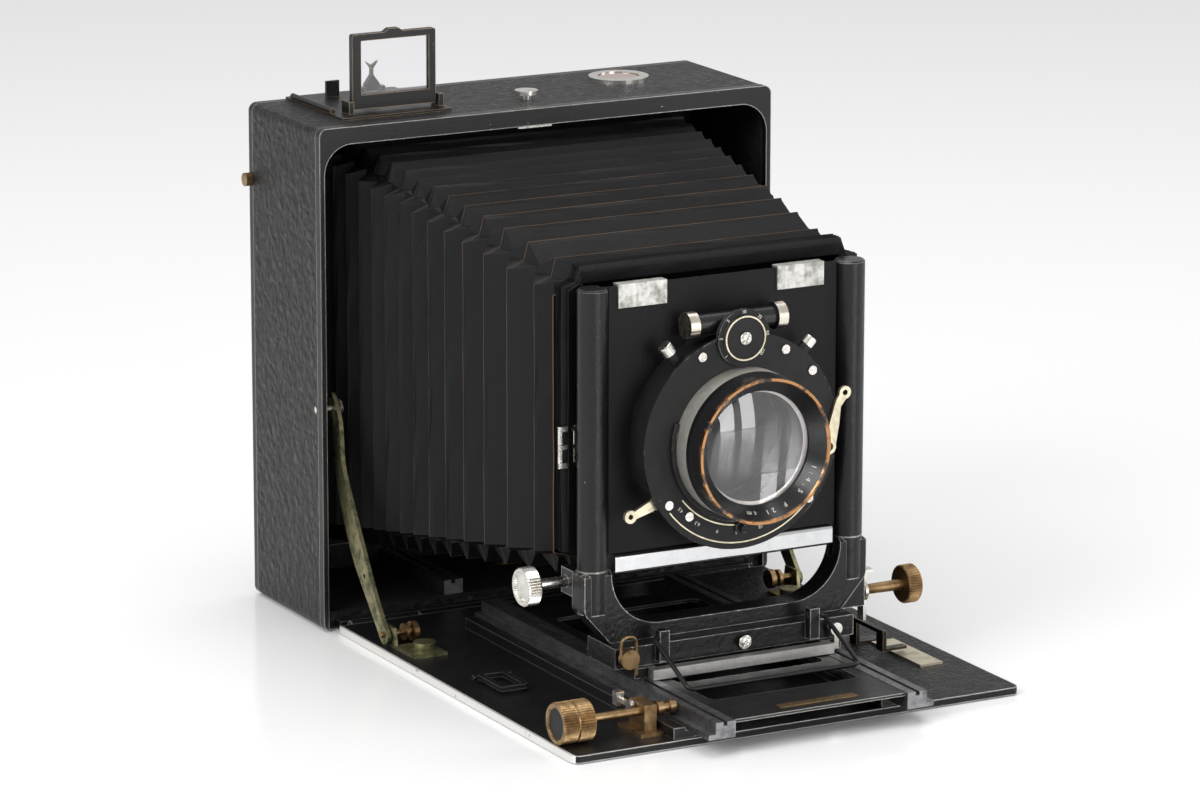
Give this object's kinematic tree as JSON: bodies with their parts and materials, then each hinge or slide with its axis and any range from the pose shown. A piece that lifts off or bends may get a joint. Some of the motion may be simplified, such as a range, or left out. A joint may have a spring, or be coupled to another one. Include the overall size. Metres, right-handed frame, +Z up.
{
  "type": "folding plate camera",
  "caption": "Folding plate camera opened for use: square leather body, drop bed with rack focusing, tapered bellows, U standard with rising lens panel and leaf shutter lens.",
  "frame": {"origin": "centre of the mouth of the tripod socket, on the underside of the body", "axes": "+Z up, -Y along the lens axis towards the subject, +X to the right seen from the front"},
  "size_m": [0.2438, 0.3442, 0.2804],
  "materials": {
    "leather_black": "coarse grained, glossy",
    "black_lacquer": "satin, worn edges",
    "bellows_leather": "matt, pleated",
    "bare_steel": "dull",
    "nickel": "worn plating",
    "brass": "worn",
    "olive_brass": "tarnished",
    "lens_glass": "clear",
    "ground_glass": "ground",
    "ivory_scale": "silvered",
    "red_spirit": "spirit vial",
    "panel_black": "matt"
  },
  "bodies": {
    "body": {"body_casing": "leather_black", "front_rim": "black_lacquer", "rear_frame": "black_lacquer", "back_frame": "black_lacquer", "ground_glass": "ground_glass", "body_rails": "bare_steel", "bellows": "bellows_leather", "latch_plate": "nickel", "tripod_bush": "brass", "level_ring": "nickel", "level_vial": "red_spirit", "finder_base": "black_lacquer", "strut_wall_pins": "nickel", "bed_hinge": "black_lacquer"},
    "release_button": {"release_button": "nickel"},
    "hood": {"hood_lid": "leather_black"},
    "back_catch": {"back_catch": "brass"},
    "finder_front": {"finder_frame": "black_lacquer", "finder_lens": "lens_glass"},
    "finder_rear": {"finder_sight": "black_lacquer"},
    "bed": {"bed_plate": "leather_black", "bed_guide_rails": "black_lacquer", "focus_bearing": "brass", "scale_plate": "ivory_scale", "index_bracket": "black_lacquer", "strut_feet": "olive_brass"},
    "strut_left": {"strut_left": "olive_brass"},
    "strut_right": {"strut_right": "olive_brass"},
    "strut_button_left": {"strut_button_left": "brass"},
    "strut_button_right": {"strut_button_right": "brass"},
    "bed_clasp": {"bed_clasp": "black_lacquer"},
    "focus_knob": {"focus_shaft": "brass", "focus_knob": "brass"},
    "focus_lock": {"focus_lock": "nickel"},
    "carriage": {"carriage_rails": "bare_steel", "carriage_plate": "black_lacquer"},
    "standard_base": {"standard_base": "black_lacquer", "base_strip": "nickel"},
    "wire_bail": {"wire_bail": "black_lacquer"},
    "base_button": {"base_button": "brass"},
    "base_lever": {"base_lever": "nickel"},
    "u_frame": {"standard_frame": "black_lacquer", "standard_columns": "black_lacquer"},
    "rise_knob": {"rise_knob": "nickel"},
    "shift_knob": {"shift_knob": "brass"},
    "shift_lever": {"shift_lever": "nickel"},
    "lens_board": {"panel_carrier": "black_lacquer", "lens_panel": "panel_black", "panel_bar": "nickel", "panel_clips": "nickel", "shutter_case": "panel_black", "air_cylinder": "black_lacquer", "lens_barrel": "black_lacquer", "lens_elements": "lens_glass", "rear_cell": "black_lacquer", "face_screws": "nickel"},
    "speed_dial": {"speed_dial": "black_lacquer"},
    "cocking_lever": {"cocking_lever": "ivory_scale"},
    "shutter_release": {"shutter_release": "ivory_scale"},
    "aperture_ring": {"aperture_ring": "black_lacquer"}
  },
  "joints": [
    {"name": "bed_fold", "type": "hinge", "parent": "body", "child": "bed", "pos_m": [0, -0.0454, 0.0023], "axis": [-1, 0, 0], "range_deg": [0, 5], "deforming": ["bellows"]},
    {"name": "strut_left_swing", "type": "hinge", "parent": "bed", "child": "strut_left", "pos_m": [-0.1104, -0.088, 0.009], "axis": [1, 0, 0], "range_deg": [0, 4.6]},
    {"name": "strut_right_swing", "type": "hinge", "parent": "bed", "child": "strut_right", "pos_m": [0.1104, -0.088, 0.009], "axis": [1, 0, 0], "range_deg": [0, 4.6]},
    {"name": "strut_left_unlock", "type": "slide", "parent": "bed", "child": "strut_button_left", "axis": [1, 0, 0], "range_m": [0, 0.0015], "stiffness_N_per_m": 400},
    {"name": "strut_right_unlock", "type": "slide", "parent": "bed", "child": "strut_button_right", "axis": [-1, 0, 0], "range_m": [0, 0.0015], "stiffness_N_per_m": 400},
    {"name": "release_press", "type": "slide", "parent": "body", "child": "release_button", "axis": [0, 0, -1], "range_m": [0, 0.0018], "stiffness_N_per_m": 500},
    {"name": "hood_open", "type": "hinge", "parent": "body", "child": "hood", "pos_m": [0, 0.0418, 0.194], "axis": [1, 0, 0], "range_deg": [0, 100]},
    {"name": "back_catch_slide", "type": "slide", "parent": "body", "child": "back_catch", "axis": [0, 0, 1], "range_m": [0, 0.005]},
    {"name": "finder_fold", "type": "hinge", "parent": "body", "child": "finder_front", "pos_m": [-0.0695, -0.017, 0.2448], "axis": [-1, 0, 0], "range_deg": [0, 88]},
    {"name": "sight_fold", "type": "hinge", "parent": "body", "child": "finder_rear", "pos_m": [-0.0595, 0.027, 0.2432], "axis": [-1, 0, 0], "range_deg": [0, 80]},
    {"name": "clasp_lift", "type": "hinge", "parent": "bed", "child": "bed_clasp", "pos_m": [-0.093, -0.1621, 0.0063], "axis": [-1, 0, 0], "range_deg": [0, 60]},
    {"name": "focus_slide", "type": "slide", "parent": "bed", "child": "carriage", "axis": [0, -1, 0], "range_m": [-0.012, 0.06], "deforming": ["bellows"]},
    {"name": "focus_turn", "type": "hinge", "parent": "bed", "child": "focus_knob", "pos_m": [-0.08, -0.264, 0.0133], "axis": [1, 0, 0], "range_deg": [-1100, 230]},
    {"name": "focus_lock_turn", "type": "hinge", "parent": "bed", "child": "focus_lock", "pos_m": [-0.0734, -0.258, 0.0146], "axis": [1, 0, 0], "range_deg": [0, 25]},
    {"name": "standard_slide", "type": "slide", "parent": "carriage", "child": "standard_base", "axis": [0, -1, 0], "range_m": [-0.198, 0], "deforming": ["bellows"]},
    {"name": "bail_swing", "type": "hinge", "parent": "standard_base", "child": "wire_bail", "pos_m": [0, -0.2256, 0.0334], "axis": [-1, 0, 0], "range_deg": [0, 80]},
    {"name": "base_unlock", "type": "slide", "parent": "standard_base", "child": "base_button", "axis": [0, 1, 0], "range_m": [0, 0.0018], "stiffness_N_per_m": 400},
    {"name": "base_lever_turn", "type": "hinge", "parent": "standard_base", "child": "base_lever", "pos_m": [0.05, -0.227, 0.0255], "axis": [0, -1, 0], "range_deg": [0, 60]},
    {"name": "cross_slide", "type": "slide", "parent": "standard_base", "child": "u_frame", "axis": [1, 0, 0], "range_m": [-0.012, 0.012], "deforming": ["bellows"]},
    {"name": "cross_turn", "type": "hinge", "parent": "u_frame", "child": "shift_knob", "pos_m": [0.095, -0.209, 0.036], "axis": [1, 0, 0], "range_deg": [-180, 180]},
    {"name": "cross_lock_turn", "type": "hinge", "parent": "u_frame", "child": "shift_lever", "pos_m": [0.0748, -0.209, 0.036], "axis": [1, 0, 0], "range_deg": [-25, 25]},
    {"name": "rise_slide", "type": "slide", "parent": "u_frame", "child": "lens_board", "axis": [0, 0, 1], "range_m": [-0.002, 0.03], "deforming": ["bellows"]},
    {"name": "rise_turn", "type": "hinge", "parent": "u_frame", "child": "rise_knob", "pos_m": [-0.088, -0.195, 0.056], "axis": [1, 0, 0], "range_deg": [-400, 40]},
    {"name": "speed_turn", "type": "hinge", "parent": "lens_board", "child": "speed_dial", "pos_m": [0, -0.229, 0.1675], "axis": [0, -1, 0], "range_deg": [-120, 120]},
    {"name": "cocking_swing", "type": "hinge", "parent": "lens_board", "child": "cocking_lever", "pos_m": [0.0445, -0.2284, 0.112], "axis": [0, 1, 0], "range_deg": [0, 40]},
    {"name": "release_swing", "type": "hinge", "parent": "lens_board", "child": "shutter_release", "pos_m": [-0.041, -0.223, 0.095], "axis": [0, -1, 0], "range_deg": [0, 8], "stiffness_Nm_per_rad": 0.02},
    {"name": "aperture_turn", "type": "hinge", "parent": "lens_board", "child": "aperture_ring", "pos_m": [0, -0.228, 0.1195], "axis": [0, -1, 0], "range_deg": [-30, 40]}
  ],
  "couplings": [
    {"joint": "strut_left_swing", "follows": "bed_fold", "ratio": 0.876},
    {"joint": "strut_right_swing", "follows": "bed_fold", "ratio": 0.876},
    {"joint": "focus_turn", "follows": "focus_slide", "rad_per_m": -312.5},
    {"joint": "rise_turn", "follows": "rise_slide", "rad_per_m": -212.77},
    {"joint": "cross_turn", "follows": "cross_slide", "rad_per_m": 250}
  ]
}
